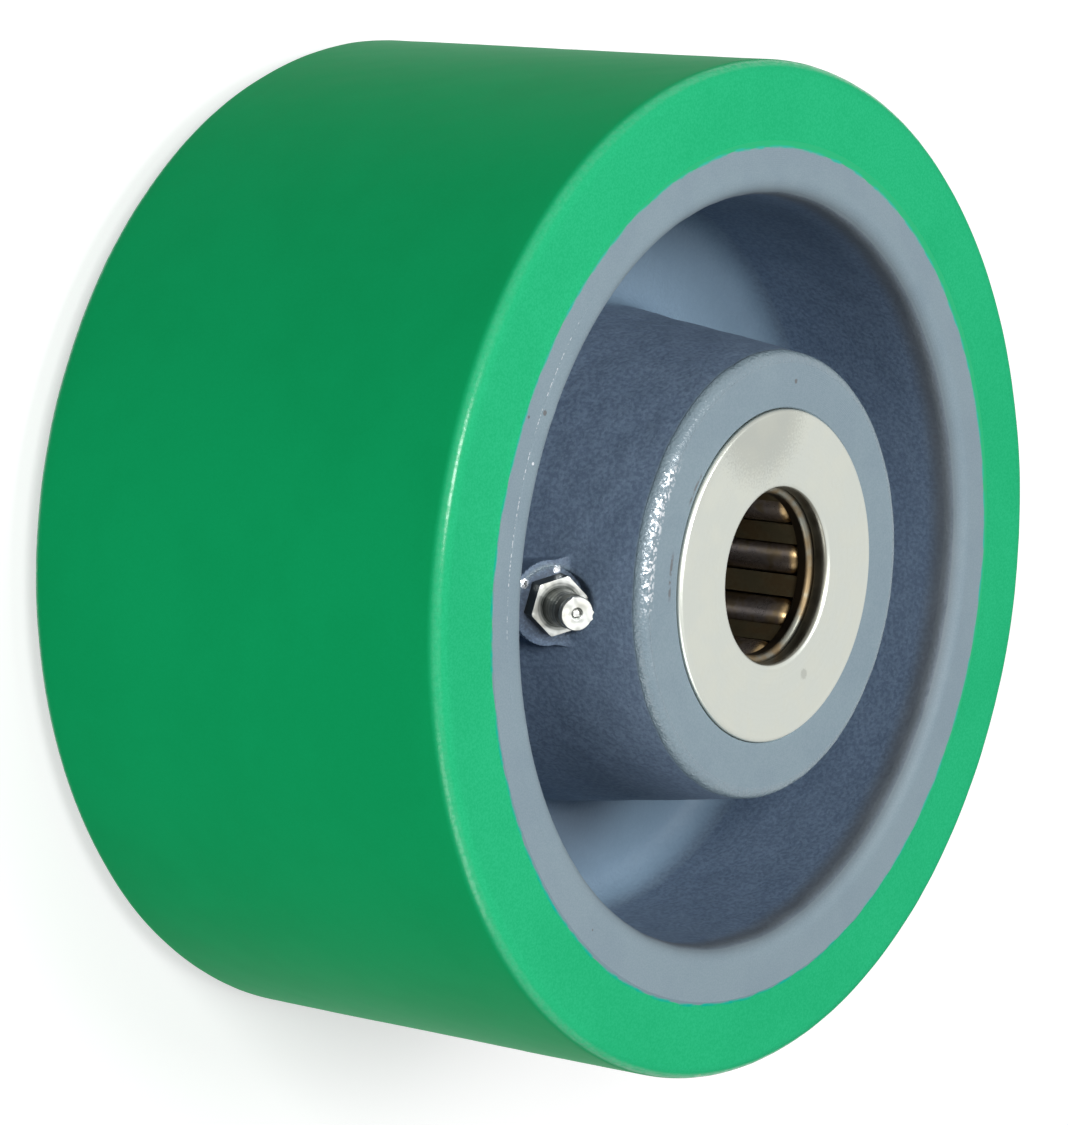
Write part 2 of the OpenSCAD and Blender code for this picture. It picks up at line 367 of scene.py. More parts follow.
class Canvas:
    """Adds and joins the nodes of one shader tree."""

    def __init__(self, owner: bpy.types.ID) -> None:
        """Clears and keeps the node tree of its owner: a group itself, a material or a world."""
        if not isinstance(owner, bpy.types.NodeTree):
            owner.use_nodes = True
            owner = owner.node_tree
        owner.nodes.clear()
        self.tree = owner

    def add(self, kind: str, inputs: dict[str | int, Any], **settings: Any) -> Outputs:
        """Adds a node.

        Args:
            kind: Blender's name of the node type.
            inputs: a number, a colour or another node's output for each input, by name or place.
            settings: attributes of the node itself.

        Returns:
            The node's outputs, by name and by place.
        """
        node = self.tree.nodes.new(kind)
        for key, value in settings.items():
            setattr(node, key, value)
        for key, value in inputs.items():
            socket = node.inputs[key]
            if isinstance(value, Value):
                self.tree.links.new(value.socket, socket)
            else:
                socket.default_value = (*value, 1.0) if socket.type == "RGBA" else value
        found = [Value(self, socket) for socket in node.outputs]
        return {value.socket.name: value for value in found} | dict(enumerate(found))

    def math(self, operation: str, a: Operand, b: Operand = 0.0) -> Value:
        """The result of a Math node."""
        return self.add("ShaderNodeMath", {0: a, 1: b}, operation=operation)[0]

    def mix(self, share: Operand, a: Value | Colour, b: Value | Colour, blend: str = "MIX") -> Value:
        """Two colours mixed."""
        return self.add("ShaderNodeMix", {0: share, 6: a, 7: b}, data_type="RGBA", blend_type=blend)[2]

    def noise(self, place: Value, scale: Operand, detail: float = 2.0, rough: float = 0.5) -> Value:
        """A Noise Texture with scale lumps to the metre."""
        inputs = {"Vector": place, "Scale": scale, "Detail": detail, "Roughness": rough}
        return self.add("ShaderNodeTexNoise", inputs)["Fac"]

    def distance(self, a: Value | Point, b: Value | Point) -> Value:
        """How far apart two places are."""
        return self.add("ShaderNodeVectorMath", {0: a, 1: b}, operation="DISTANCE")["Value"]

    def bump(self, strength: Operand, distance: float, height: Value, **under: Value) -> Value:
        """The normal over a height, upon another normal where one is given as Normal."""
        inputs = {"Strength": strength, "Distance": distance, "Height": height, **under}
        return self.add("ShaderNodeBump", inputs)[0]


VECTORS = ("place", "centre")


def shared_group(recipe: Callable[..., Outputs]) -> bpy.types.NodeTree:
    """The shader node group that a recipe describes, built when it is first asked for.

    Args:
        recipe: function of a canvas and of the group's inputs that works out its outputs.

    Returns:
        The group. It bears the recipe's name, and its inputs those of the recipe's parameters.
    """
    found = bpy.data.node_groups.get(recipe.__name__)
    if found:
        return found
    tree = bpy.data.node_groups.new(recipe.__name__, "ShaderNodeTree")
    labels = list(signature(recipe).parameters)[1:]
    for label in labels:
        kind = "NodeSocketVector" if label in VECTORS else "NodeSocketFloat"
        tree.interface.new_socket(name=label, in_out="INPUT", socket_type=kind)
    canvas = Canvas(tree)
    given = canvas.add("NodeGroupInput", {})
    results = recipe(canvas, *(given[label] for label in labels))
    for label in results:
        tree.interface.new_socket(name=label, in_out="OUTPUT", socket_type="NodeSocketFloat")
    canvas.add("NodeGroupOutput", results)
    return tree


# Recipes of the shared groups: each takes its group's canvas and inputs and returns its outputs

def axis_place(c: Canvas, place: Value) -> Outputs:
    """Where a point lies about the wheel's axis: radius in metres, turn in radians and height in metres."""
    part = c.add("ShaderNodeSeparateXYZ", {0: place})
    x, y = part["X"], part["Y"]
    return {"radius": (x * x + y * y).to("SQRT"), "turn": y.to("ARCTAN2", x), "height": part["Z"]}


def fine_grain(c: Canvas, place: Value, size: Value) -> Outputs:
    """Fine even grain: a height and a tint, both from noise of size metres."""
    scale = 1.0 / size
    fine, wide = c.noise(place, scale, 3.0, 0.65), c.noise(place, scale * 0.3)
    return {"height": fine * 0.75 + wide * 0.25, "tint": fine.ramp(0.35, 0.65)}


def cast_skin(c: Canvas, place: Value, size: Value) -> Outputs:
    """Painted sand-cast skin: height of soft lumps of size metres with finer ones, and its hollows."""
    scale = 1.0 / size
    lumps, fine = c.noise(place, scale, 1.0), c.noise(place, scale * 2.4, 1.0)
    return {"height": lumps * 0.75 + fine * 0.25, "hollow": lumps.ramp(0.72, 0.28)}


def turning_marks(c: Canvas, place: Value, radius: Value, pitch: Value) -> Outputs:
    """Marks of a lathe tool on a flat face: rings pitch metres apart, broken up round the turn."""
    ring = radius / pitch
    wave = (ring * (2 * math.pi) + c.noise(place, 900.0) * 3.0).to("SINE")
    worn = c.noise(place, 140.0).ramp(0.35, 0.65)
    across = c.add("ShaderNodeCombineXYZ", {0: ring})[0]
    return {"height": wave * worn, "tint": c.noise(across, 0.35).ramp(0.3, 0.7)}


def specks(c: Canvas, place: Value, size: Value, share: Value) -> Outputs:
    """Scattered specks: cells of size metres of which a share holds one dot of random breadth."""
    cells = c.add("ShaderNodeTexVoronoi", {"Vector": place, "Scale": 1.0 / size})
    pick = c.add("ShaderNodeSeparateColor", {0: cells["Color"]})
    dot = cells["Distance"].to("LESS_THAN", pick["Green"] * 0.07 + 0.03)
    return {"mask": pick["Red"].to("LESS_THAN", share) * dot}


def stains(c: Canvas, place: Value, size: Value) -> Outputs:
    """Soft cloudy stains of size metres."""
    return {"mask": c.noise(place, 1.0 / size, 3.0, 0.6).ramp(0.4, 0.62)}


def ragged_patch(c: Canvas, place: Value, centre: Value, breadth: Value) -> Outputs:
    """One ragged mark of breadth metres around centre."""
    return {"mask": (c.distance(place, centre) / breadth + c.noise(place, 2200.0) * 0.8).ramp(1.4, 1.0)}


def arc_scratch(c: Canvas, place: Value, radius: Value, turn: Value, at: Value, middle: Value, reach: Value,
                breadth: Value) -> Outputs:
    """A thin broken scratch on an arc: at radius at, breadth metres wide, within reach radians of middle."""
    across = ((radius - at).to("ABSOLUTE") / breadth).ramp(1.0, 0.4)
    along = ((turn - middle).to("ABSOLUTE") / reach).ramp(1.0, 0.6)
    return {"mask": across * along * c.noise(place, 700.0).ramp(0.35, 0.55)}


def bond_line(c: Canvas, place: Value, radius: Value, turn: Value) -> Outputs:
    """Where tread and paint meet on the wheel's side: how far past that line a point lies, and the line.

    The line isn't quite round the axis: its radius is 85.3 + 1.1 cos(turn - 50 degrees) mm, and it wavers.
    """
    swing = (turn - math.radians(50)).to("COSINE") * (1.1 * MM)
    waver = (c.noise(place, 160.0, 3.0) - 0.5) * (0.9 * MM)
    past = radius - (85.3 * MM + swing + waver)
    near = past.to("ABSOLUTE").ramp(0.45 * MM, 0.1 * MM)
    return {"past": past, "line": near * c.noise(place, 260.0).ramp(0.3, 0.7)}


class Coats(Canvas):
    """A material under way: a Principled BSDF whose colour is laid on coat by coat, in Object coordinates."""

    def __init__(self, name: str, colour: Colour) -> None:
        """Starts the material with its first coat."""
        self.material = bpy.data.materials.new(name)
        super().__init__(self.material)
        self.colour: Value | Colour = colour
        self.place = self.add("ShaderNodeTexCoord", {})["Object"]
        self.mark = self.add("ShaderNodeAttribute", {}, attribute_name="mark")["Fac"]
        axis = self.use(axis_place)
        self.radius, self.turn, self.height = axis["radius"], axis["turn"], axis["height"]

    def use(self, recipe: Callable[..., Outputs], **inputs: Any) -> Outputs:
        """Adds an instance of a recipe's shared group, with the point's place and the given inputs."""
        return self.add("ShaderNodeGroup", {"place": self.place, **inputs}, node_tree=shared_group(recipe))

    def lay(self, share: Operand, colour: Value | Colour, blend: str = "MIX") -> None:
        """Lays a colour over the coats so far, as far as share says."""
        self.colour = self.mix(share, self.colour, colour, blend)

    def tint(self, share: Operand, tint: Colour) -> None:
        """Multiplies the coats so far by a tint, as far as share says."""
        self.lay(share, tint, "MULTIPLY")

    def patch(self, centre: Point, breadth: float) -> Value:
        """Mask of one ragged mark."""
        return self.use(ragged_patch, centre=centre, breadth=breadth)["mask"]

    def scratch(self, at: float, middle: float, reach: float, breadth: float) -> Value:
        """Mask of a scratch at radius at, within reach degrees of the middle one."""
        return self.use(arc_scratch, radius=self.radius, turn=self.turn, at=at, middle=math.radians(middle),
                        reach=math.radians(reach), breadth=breadth)["mask"]

    def finished(self, inputs: dict[str, Any]) -> bpy.types.Material:
        """Adds the shader with the colour and its other inputs, and returns the material."""
        shader = self.add("ShaderNodeBsdfPrincipled", {"Base Color": self.colour, **inputs})
        self.add("ShaderNodeOutputMaterial", {"Surface": shader[0]})
        return self.material


Spot = tuple[Point, float]

FACE_PAINT: Colour = (0.200, 0.274, 0.314)
BOND_GREEN: Colour = (0.006, 0.400, 0.300)

# A small chip, and a broad dark mark over the washer's top towards -y that is painted shade
WASHER_MARKS: tuple[Spot, ...] = (
    ((-9.2 * MM, 21.2 * MM, 55.9 * MM), 1.3 * MM), ((6 * MM, -35 * MM, 55.9 * MM), 18 * MM))


@dataclass(frozen=True)
class TreadFinish:
    """Moulded polyurethane, smooth round the outside. Its deep green outside and paler green sides are
    painted shade and painted light on one urethane.
    """

    # Painted light and shade: side is the urethane's green as if lit strongly, outside the same green as if
    # in shade
    outside: Colour = (0.003, 0.336, 0.106)
    side: Colour = (0.018, 0.436, 0.178)
    fleck: Colour = (0.260, 0.520, 0.140)
    cloud_tint: Colour = (0.80, 0.93, 0.90)
    speckle_tint: Colour = (1.70, 1.13, 1.26)

    def make(self) -> bpy.types.Material:
        """Builds the material; the mesh's "mark" is 1 on the sides and 0 round the outside.

        Returns:
            The material.
        """
        c = Coats("moulded_tread", self.outside)
        mark = c.mark
        grain = c.use(fine_grain, size=0.45 * MM)
        bond = c.use(bond_line, radius=c.radius, turn=c.turn)
        # Painted light: the sides take the paler, lit copy of the tread's green
        c.lay(mark.ramp(0.0, 0.6), self.side)
        c.tint(c.use(stains, size=28 * MM)["mask"] * 0.5, self.cloud_tint)
        c.tint(grain["tint"] * (0.25 + mark * 0.5), self.speckle_tint)
        c.lay(c.use(specks, size=6 * MM, share=0.05)["mask"] * (mark * 0.6), self.fleck)
        c.lay(mark * bond["past"].ramp(0.1 * MM, -0.1 * MM), FACE_PAINT)
        c.lay(mark * bond["line"], BOND_GREEN)
        shoulder = mark.ramp(0.25, 0.5) * mark.ramp(0.88, 0.72)
        worn = c.noise(c.place, 1100.0, 1.0).ramp(0.35, 0.6, 0.45, 1.0)
        return c.finished({
            "Roughness": 0.40 + mark * 0.18 + grain["height"] * 0.08, "IOR": 1.08,
            "Coat Weight": shoulder * worn * 0.85, "Coat Roughness": 0.21,
            "Normal": c.bump(0.12 + mark * 0.35, 0.05 * MM, grain["height"])})


@dataclass(frozen=True)
class CoreFinish:
    """Grey-blue paint on cast iron: glossy and lumpy on the cast skin, thin and even on the turned faces."""

    cast: Colour = (0.140, 0.205, 0.284)
    rust: Colour = (0.098, 0.080, 0.072)
    # Painted shade on the front rim's inner rounding and the top of its inner wall
    soot: Colour = (0.096, 0.104, 0.108)
    # Painted light: a paler blue laid on the webs, as if more light fell on them
    dust: Colour = (0.166, 0.250, 0.332)
    # Old grease round the fitting's seat; also the colour of a painted shadow on the web
    grease: Colour = (0.060, 0.078, 0.108)
    # Painted glints: near-white metal laid where the lamps' glints fall
    bare: Colour = (0.80, 0.84, 0.88)
    green: Colour = (0.0, 0.398, 0.154)
    cloud_tint: Colour = (0.84, 0.86, 0.90)
    # Painted shade: the tint that darkens the hollows of the cast skin
    hollow_tint: Colour = (0.62, 0.62, 0.68)
    grain_tint: Colour = (1.38, 1.24, 1.26)
    # Centre of a painted shadow that the hub casts on the web below it
    oiled: Point = (2 * MM, 47 * MM, 7 * MM)
    chips: tuple[Spot, ...] = (
        ((-7.13 * MM, -38.05 * MM, 55.1 * MM), 0.6 * MM), ((69.4 * MM, -40.5 * MM, 50.8 * MM), 0.7 * MM),
        ((74.3 * MM, -40.3 * MM, 50.8 * MM), 0.4 * MM))
    # Painted glints: spots on the spot face's rim and on the rim face, in near-white metal
    bright: tuple[Spot, ...] = (
        ((54.1 * MM, -4.3 * MM, 34.0 * MM), 1.1 * MM), ((48.0 * MM, -6.5 * MM, 37.3 * MM), 0.9 * MM),
        ((73.1 * MM, -31.4 * MM, 50.8 * MM), 0.4 * MM))
    # Painted glints: broken arcs on the hub's edge and along the rim face's burr, within the turn where the
    # lamps' glints fall
    worn: tuple[tuple[float, float, float, float], ...] = (
        (42.6 * MM, -19.0, 24.0, 1.9 * MM), (81.3 * MM, -22.0, 26.0, 0.13 * MM))
    scratches: tuple[tuple[float, float, float, float], ...] = (
        (35.8 * MM, -8.0, 8.5, 0.55 * MM), (34.4 * MM, -38.0, 7.0, 0.40 * MM))

    def make(self, seat: Point) -> bpy.types.Material:
        """Builds the material; the mesh's "mark" says how each stretch was made, as Surface lists.

        Args:
            seat: middle of the grease fitting's spot face, around which old grease has darkened the paint.

        Returns:
            The material.
        """
        c = Coats("painted_casting", FACE_PAINT)
        radius, height = c.radius, c.height
        rough_skin = c.mark.ramp(Surface.RIM_LIP, Surface.EDGE)
        bare = 1.0 - rough_skin
        cast = c.mark.ramp(Surface.EDGE, 0.9)
        edge = rough_skin * c.mark.ramp(0.58, 0.42)
        skin = c.use(cast_skin, size=0.85 * MM)
        grain = c.use(fine_grain, size=0.35 * MM)
        bond = c.use(bond_line, radius=radius, turn=c.turn)
        rings = c.use(turning_marks, radius=radius, pitch=0.4 * MM)["height"]
        c.lay(cast, self.cast)
        c.tint(c.use(stains, size=14 * MM)["mask"] * 0.35, self.cloud_tint)
        # Painted shade: the hollows between the cast skin's lumps are darkened
        c.tint(skin["hollow"] * cast * 0.8, self.hollow_tint)
        c.tint(grain["tint"] * 0.45, self.grain_tint)
        # Painted light: the webs and their fillets beyond the hub take a paler blue, as if more light fell
        # there
        low = height.to("ABSOLUTE").ramp(14 * MM, 9.5 * MM) * radius.ramp(46 * MM, 48 * MM)
        c.lay(low * 0.8, self.dust)
        # Painted shade: the front rim's inner rounding and the top of its wall darken towards the recess
        brow = height.ramp(50.8 * MM, 47.4 * MM) * height.ramp(42.0 * MM, 46.5 * MM)
        c.lay(brow * radius.ramp(60 * MM, 61 * MM) * 0.75, self.soot)
        c.lay(c.use(specks, size=5 * MM, share=0.06)["mask"] * bare * 0.6, self.rust)
        for chip in self.chips:
            c.lay(c.patch(*chip) * 0.7, self.rust)
        for scratch in self.scratches:
            c.lay(c.scratch(*scratch) * bare * 0.65, self.rust)
        c.lay(c.patch(seat, 8.6 * MM) * 0.7, self.grease)
        # Painted shadow: the hub's shadow on the front web below it, in the grease colour
        c.lay(c.distance(c.place, self.oiled).ramp(25 * MM, 5 * MM) * low * 0.6, self.grease)
        c.lay(bare * bond["past"].ramp(-0.1 * MM, 0.1 * MM), self.green)
        c.lay(bare * bond["line"], BOND_GREEN)
        # Painted glints: near-white metal in the listed spots and in broken arcs on the front faces, where
        # the lamps' glints fall
        shine: Operand = 0.0
        for spot in self.bright:
            shine = c.math("MAXIMUM", shine, c.patch(*spot))
        dots = c.noise(c.place, 1500.0, 0.0).ramp(0.50, 0.57) * height.ramp(50.0 * MM, 50.3 * MM)
        for line in self.worn:
            shine = c.math("MAXIMUM", shine, c.scratch(*line) * dots)
        c.lay(shine, self.bare)
        lumpy = c.bump(rough_skin * 0.75, 0.16 * MM, skin["height"] * (1.0 + edge * 1.6))
        return c.finished({
            "Metallic": shine, "Specular IOR Level": 0.38,
            "Roughness": 0.50 - c.math("MAXIMUM", edge, shine) * 0.30 + grain["height"] * 0.06,
            "Normal": c.bump(bare * 0.25, 0.02 * MM, rings + grain["height"], Normal=lumpy)})


@dataclass(frozen=True)
class SteelFinish:
    """How one bare metal looks: colour, roughness, stains, how far its sheen is drawn out, and its dirt and
    painted shade.
    """

    name: str
    colour: Colour
    rough: float
    stain: Colour
    stained: float
    drawn_out: float = 0.0
    # Dirt and painted shade, laid as far as the mesh's mark says
    grime: Colour | None = None
    chip: Colour = (0.28, 0.29, 0.26)
    # Colour laid below the height that make is given: nearly black, deep in the bore
    inside: Colour = (0.03, 0.022, 0.015)


class Steel(Enum):
    """The bare metals of the wheel."""

    WASHER = SteelFinish("washer_steel", (0.605, 0.632, 0.578), 0.32, (0.40, 0.38, 0.30), 0.16, 0.0,
                         (0.085, 0.075, 0.050))
    CAGE = SteelFinish("cage_steel", (0.21, 0.215, 0.185), 0.36, (0.17, 0.100, 0.030), 0.7)
    BAR = SteelFinish("bar_steel", (0.20, 0.175, 0.105), 0.48, (0.10, 0.055, 0.020), 0.6)
    ROLLER = SteelFinish("roller_steel", (0.36, 0.325, 0.32), 0.27, (0.12, 0.085, 0.030), 0.8, 0.94,
                         (0.34, 0.24, 0.12))
    FITTING = SteelFinish("plated_fitting", (0.72, 0.74, 0.71), 0.34, (0.42, 0.39, 0.30), 0.35, 0.0,
                          (0.030, 0.038, 0.034))
    BALL = SteelFinish("ball_steel", (0.90, 0.90, 0.88), 0.12, (0.50, 0.45, 0.38), 0.10)
    WIRE = SteelFinish("spring_wire", (0.55, 0.55, 0.55), 0.25, (0.30, 0.26, 0.20), 0.15)

    def make(self, chips: Sequence[Spot] = (), inside: float = 0.0) -> bpy.types.Material:
        """Builds the metal's material. Where it has dirt and painted shade, the attribute "mark" says how
        much.

        Args:
            chips: centre and breadth of single dark marks on it.
            inside: height in metres below which it turns nearly black, deep in the bore, or nought for
                nowhere.

        Returns:
            The material.
        """
        steel = self.value
        c = Coats(steel.name, steel.colour)
        marks = c.use(turning_marks, radius=c.radius, pitch=0.25 * MM)
        grain = c.use(fine_grain, size=0.25 * MM)["height"]
        cloud = c.use(stains, size=6 * MM)["mask"]
        c.lay(marks["tint"] * 0.10, tuple(0.8 * v for v in steel.colour))
        c.lay(cloud * steel.stained, steel.stain)
        c.lay(c.use(specks, size=6 * MM, share=0.06)["mask"] * 0.5, steel.stain)
        for chip in chips:
            c.lay(c.patch(*chip) * 0.4, steel.chip)
        if steel.grime:
            c.lay(c.mark, steel.grime)
        # Nearly black below the given height, deep in the bore
        if inside:
            c.lay(c.height.to("ABSOLUTE").ramp(inside, inside - 0.2 * MM) * 0.9, steel.inside)
        return c.finished({
            "Metallic": 1.0, "Anisotropic": steel.drawn_out,
            "Anisotropic Rotation": 0.25 if steel.drawn_out else 0.0,
            "Roughness": steel.rough - 0.05 + grain * 0.12 + cloud * 0.10,
            "Normal": c.bump(0.15, 0.01 * MM, marks["height"] + grain)})


# The wheel's sub-assemblies

@dataclass(frozen=True)
class WheelSizes:
    """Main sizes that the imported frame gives, in metres."""

    tread_r: float
    rim_r: float
    side_z: float
    hub_z: float
    washer_r: float
    washer_top: float
    washer_low: float
    cage_top: float
    roller_r: float
    roller_z: float

    @classmethod
    def from_frame(cls) -> "WheelSizes":
        """Reads each size from the box of the node that has it, to a thousandth of a millimetre."""
        tread, core, washer = (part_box(n)[1] for n in ("tread", "wheel_core", "front_washer"))
        roller_low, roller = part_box("roller_01")
        sizes = (tread.x, core.x, tread.z, core.z, washer.x, washer.z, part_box("front_washer")[0].z,
                 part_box("front_cage_ring")[1].z, (roller.x - roller_low.x) / 2, roller.z)
        return cls(*(round(v, 6) for v in sizes))


@dataclass
class Tread:
    """The moulded tread: a thick band with rounded shoulders."""

    sizes: WheelSizes
    finish: bpy.types.Material
    shoulder_r: float = 3.2 * MM
    columns: int = 512
    sag: Waves = Waves(11, 30 * MM, 90 * MM, 24)
    sag_depth: float = 0.05 * MM
    ripple: Waves = Waves(12, 5 * MM, 14 * MM, 30)
    ripple_depth: float = 0.012 * MM

    def section(self) -> Section:
        """The closed section, from the rear side's inner edge round to the front side's inner edge."""
        s, e = self.sizes, self.shoulder_r
        mid_r, mid_z = s.tread_r - e, s.side_z - e
        path = Section(s.rim_r, -s.side_z, 1.0).line(mid_r, -s.side_z, 1.2 * MM, 1.0)
        path.arc((mid_r, -mid_z), e, -90, 0, 10, 0.5).line(s.tread_r, mid_z, 1.9 * MM)
        path.arc((mid_r, mid_z), e, 0, 90, 10, 0.5).line(s.rim_r, s.side_z, 1.2 * MM, 1.0)
        return path.line(s.rim_r, -s.side_z + 1 * MM, 25 * MM, 1.0)

    def build(self) -> None:
        """Makes the band: slow waves and a fine ripple draw each point in along the section's normal."""
        profile, marks = self.section().arrays()
        turn = even_turn(self.columns)
        points = turned(profile, turn)
        depth = self.sag_depth * (2 + self.sag.at(points)).clip(0)
        depth += self.ripple_depth * (2 + self.ripple.at(points)).clip(0)
        depth[profile[:, 0] <= self.sizes.rim_r + SAME] = 0
        over = (np.abs(profile[:, 1]) - (self.sizes.side_z - self.shoulder_r)) / self.shoulder_r
        shoulder = (profile[:, 0] > self.sizes.tread_r - self.shoulder_r - SAME) & (over > -SAME)
        points -= turned_normals(profile, turn) * depth[..., None]
        marks = np.where(shoulder, over.clip(0, 1), marks)
        grid_piece("tread_band", points, marks, self.finish, "tread", "tread")


@dataclass
class FittingLine:
    """The line that the grease fitting stands on: its seat, and its direction away from the core."""

    seat: np.ndarray
    way: np.ndarray

    @classmethod
    def from_frame(cls, port_height: float) -> "FittingLine":
        """Reads the line from the record's mount on the fitting's head.

        Args:
            port_height: height of the mount above the seat, in metres.

        Returns:
            The line.
        """
        port = next(m for m in frame["record"]["mounts"] if m["name"] == "grease_port")
        way = np.array(port["axis"], float)
        way /= np.linalg.norm(way)
        return cls(np.array(port["pos_m"], float) - port_height * way, way)

    def place(self, points: np.ndarray) -> np.ndarray:
        """Moves points from the fitting's own frame, with its seat at z = 0, into the wheel's frame."""
        across, side = np.array([self.way[2], 0.0, -self.way[0]]), np.array([0.0, 1.0, 0.0])
        return self.seat + points[..., :1] * across + points[..., 1:2] * side + points[..., 2:] * self.way


@dataclass
class CoreCasting:
    """The core: rim, web and hub cast in one, with the fitting's boss on the hub and turned faces."""

    sizes: WheelSizes
    finish: bpy.types.Material
    line: FittingLine
    bore_r: float = 24.6 * MM
    rim_face_w: float = 6.7 * MM
    rim_edge_r: float = 4 * MM
    rim_draft: float = math.radians(1)
    rim_fillet: float = 7 * MM
    web_z: float = 7 * MM
    hub_r: float = 44.3 * MM
    hub_draft: float = math.radians(8)
    hub_edge_r: float = 2.2 * MM
    hub_fillet: float = 4 * MM
    seat_gap: float = 0.15 * MM
    boss_r: float = 8 * MM
    spotface_r: float = 6.75 * MM
    boss_window: float = math.radians(11.5)
    boss_low: float = 19.5 * MM
    boss_high: float = 47 * MM
    # Direction of the spot face's lit side, where its rim takes a painted highlight
    bright_side: Point = (0.23, -0.88, -0.41)
    window_columns: int = 88
    other_columns: int = 285
    boss_blend: float = 2.0 * MM
    boss_round: float = 0.8 * MM
    spotface_round: float = 0.35 * MM
    burr_r: float = 81.1 * MM
    burr_w: float = 0.09 * MM
    burr_h: float = 0.06 * MM
    nicked: tuple[tuple[float, float, float], ...] = (
        (-31, 0.9 * MM, 0.30 * MM), (-24, 0.7 * MM, 0.20 * MM), (14, 0.8 * MM, 0.22 * MM),
        (33, 1.1 * MM, 0.25 * MM), (61, 0.8 * MM, 0.15 * MM), (-118, 1.0 * MM, 0.2 * MM),
        (150, 0.9 * MM, 0.2 * MM))
    lumps: Waves = Waves(21, 7 * MM, 16 * MM, 60)
    lump_h: float = 0.060 * MM
    grit: Waves = Waves(22, 4 * MM, 6.5 * MM, 60)
    grit_h: float = 0.030 * MM
    skin_depth: float = 0.12 * MM
    breaks: Waves = Waves(23, 1.4 * MM, 5 * MM, 40)

    def hub_outside(self, z: Any) -> Any:
        """Radius of the hub's tapered outside at height z: it widens towards the web by the draft."""
        return self.hub_r + (self.sizes.hub_z - abs(z)) * math.tan(self.hub_draft)

    def rim_inside(self, z: float) -> float:
        """Radius of the rim's inner wall at height z."""
        lip = self.sizes.rim_r - self.rim_face_w - self.rim_edge_r / math.cos(self.rim_draft)
        return lip - (self.sizes.side_z - self.rim_edge_r - abs(z)) * math.tan(self.rim_draft)

    def half_section(self, fine: bool) -> Section:
        """One side's section, from the bore's middle out over the hub, the web and the rim to the tread.

        Args:
            fine: whether the hub's outside has the close steps that the fitting's boss needs.

        Returns:
            The section of the front side.
        """
        s = self.sizes
        seat_r, seat_z = s.washer_r + self.seat_gap, s.washer_low
        draft, wall = math.degrees(self.hub_draft), math.degrees(self.rim_draft)
        step, turns = (1.5 * MM, 2) if fine else (2.6 * MM, 1)
        edge_z, foot_z = s.hub_z - self.hub_edge_r, self.web_z + self.hub_fillet
        toe_z, lip_z = self.web_z + self.rim_fillet, s.side_z - self.rim_edge_r
        edge = (self.hub_outside(edge_z) - self.hub_edge_r / math.cos(self.hub_draft), edge_z)
        foot = (self.hub_outside(foot_z) + self.hub_fillet / math.cos(self.hub_draft), foot_z)
        toe = (self.rim_inside(toe_z) - self.rim_fillet / math.cos(self.rim_draft), toe_z)
        lip = (s.rim_r - self.rim_face_w, lip_z)
        path = Section(self.bore_r, 0.0).lines(
            (self.bore_r, seat_z, 60 * MM), (seat_r, seat_z, 10 * MM), (seat_r, s.hub_z - 0.25 * MM, 3 * MM),
            (seat_r + 0.25 * MM, s.hub_z, 1 * MM), (edge[0] - 0.3 * MM, s.hub_z, step))
        path.arc(edge, self.hub_edge_r, 90, draft, 5 * turns, Surface.EDGE)
        if fine:
            path.line(self.hub_outside(self.boss_high), self.boss_high, 1.2 * MM, Surface.CAST)
            path.line(self.hub_outside(self.boss_low), self.boss_low, 0.36 * MM, Surface.CAST)
        path.line(self.hub_outside(foot_z) + self.hub_fillet * 0.005, foot_z + 0.2 * MM, step, Surface.CAST)
        path.arc(foot, self.hub_fillet, 180 + draft, 270, 4 * turns, Surface.HUB_FILLET)
        path.line(toe[0], self.web_z, step, Surface.WEB)
        path.arc(toe, self.rim_fillet, -90, -wall, 5 * turns, Surface.RIM_FILLET)
        path.line(self.rim_inside(lip_z), lip_z, step, Surface.CAST)
        path.arc(lip, self.rim_edge_r, 180 - wall, 150, 2 * turns, Surface.RIM_ROUND)
        path.arc(lip, self.rim_edge_r, 149.6, 90, 4 * turns, Surface.RIM_LIP)
        for aside in (-1.2, -0.25, -0.12, 0.0, 0.12, 0.25, 1.6):
            path.line(self.burr_r + aside * MM, s.side_z, 2 * MM)
        return path.line(s.rim_r, s.side_z, 2 * MM)

    def section(self) -> tuple[np.ndarray, np.ndarray]:
        """The whole closed section: the front half, then the rear one mirrored and run backwards.

        Returns:
            The points and the marks, as arrays.
        """
        front, front_marks = self.half_section(True).arrays()
        rear, rear_marks = self.half_section(False).arrays()
        return (np.concatenate([front, [[self.sizes.rim_r, 0.0]], rear[:0:-1] * (1, -1)]),
                np.concatenate([front_marks, [0.0], rear_marks[:0:-1]]))

    def turn(self) -> np.ndarray:
        """Angles of the columns: close together over the boss and wider apart round the rest."""
        window = np.linspace(-self.boss_window, self.boss_window, self.window_columns, endpoint=False)
        end = 2 * math.pi - self.boss_window
        rest = np.linspace(self.boss_window, end, self.other_columns, endpoint=False)
        return np.concatenate([window, rest])

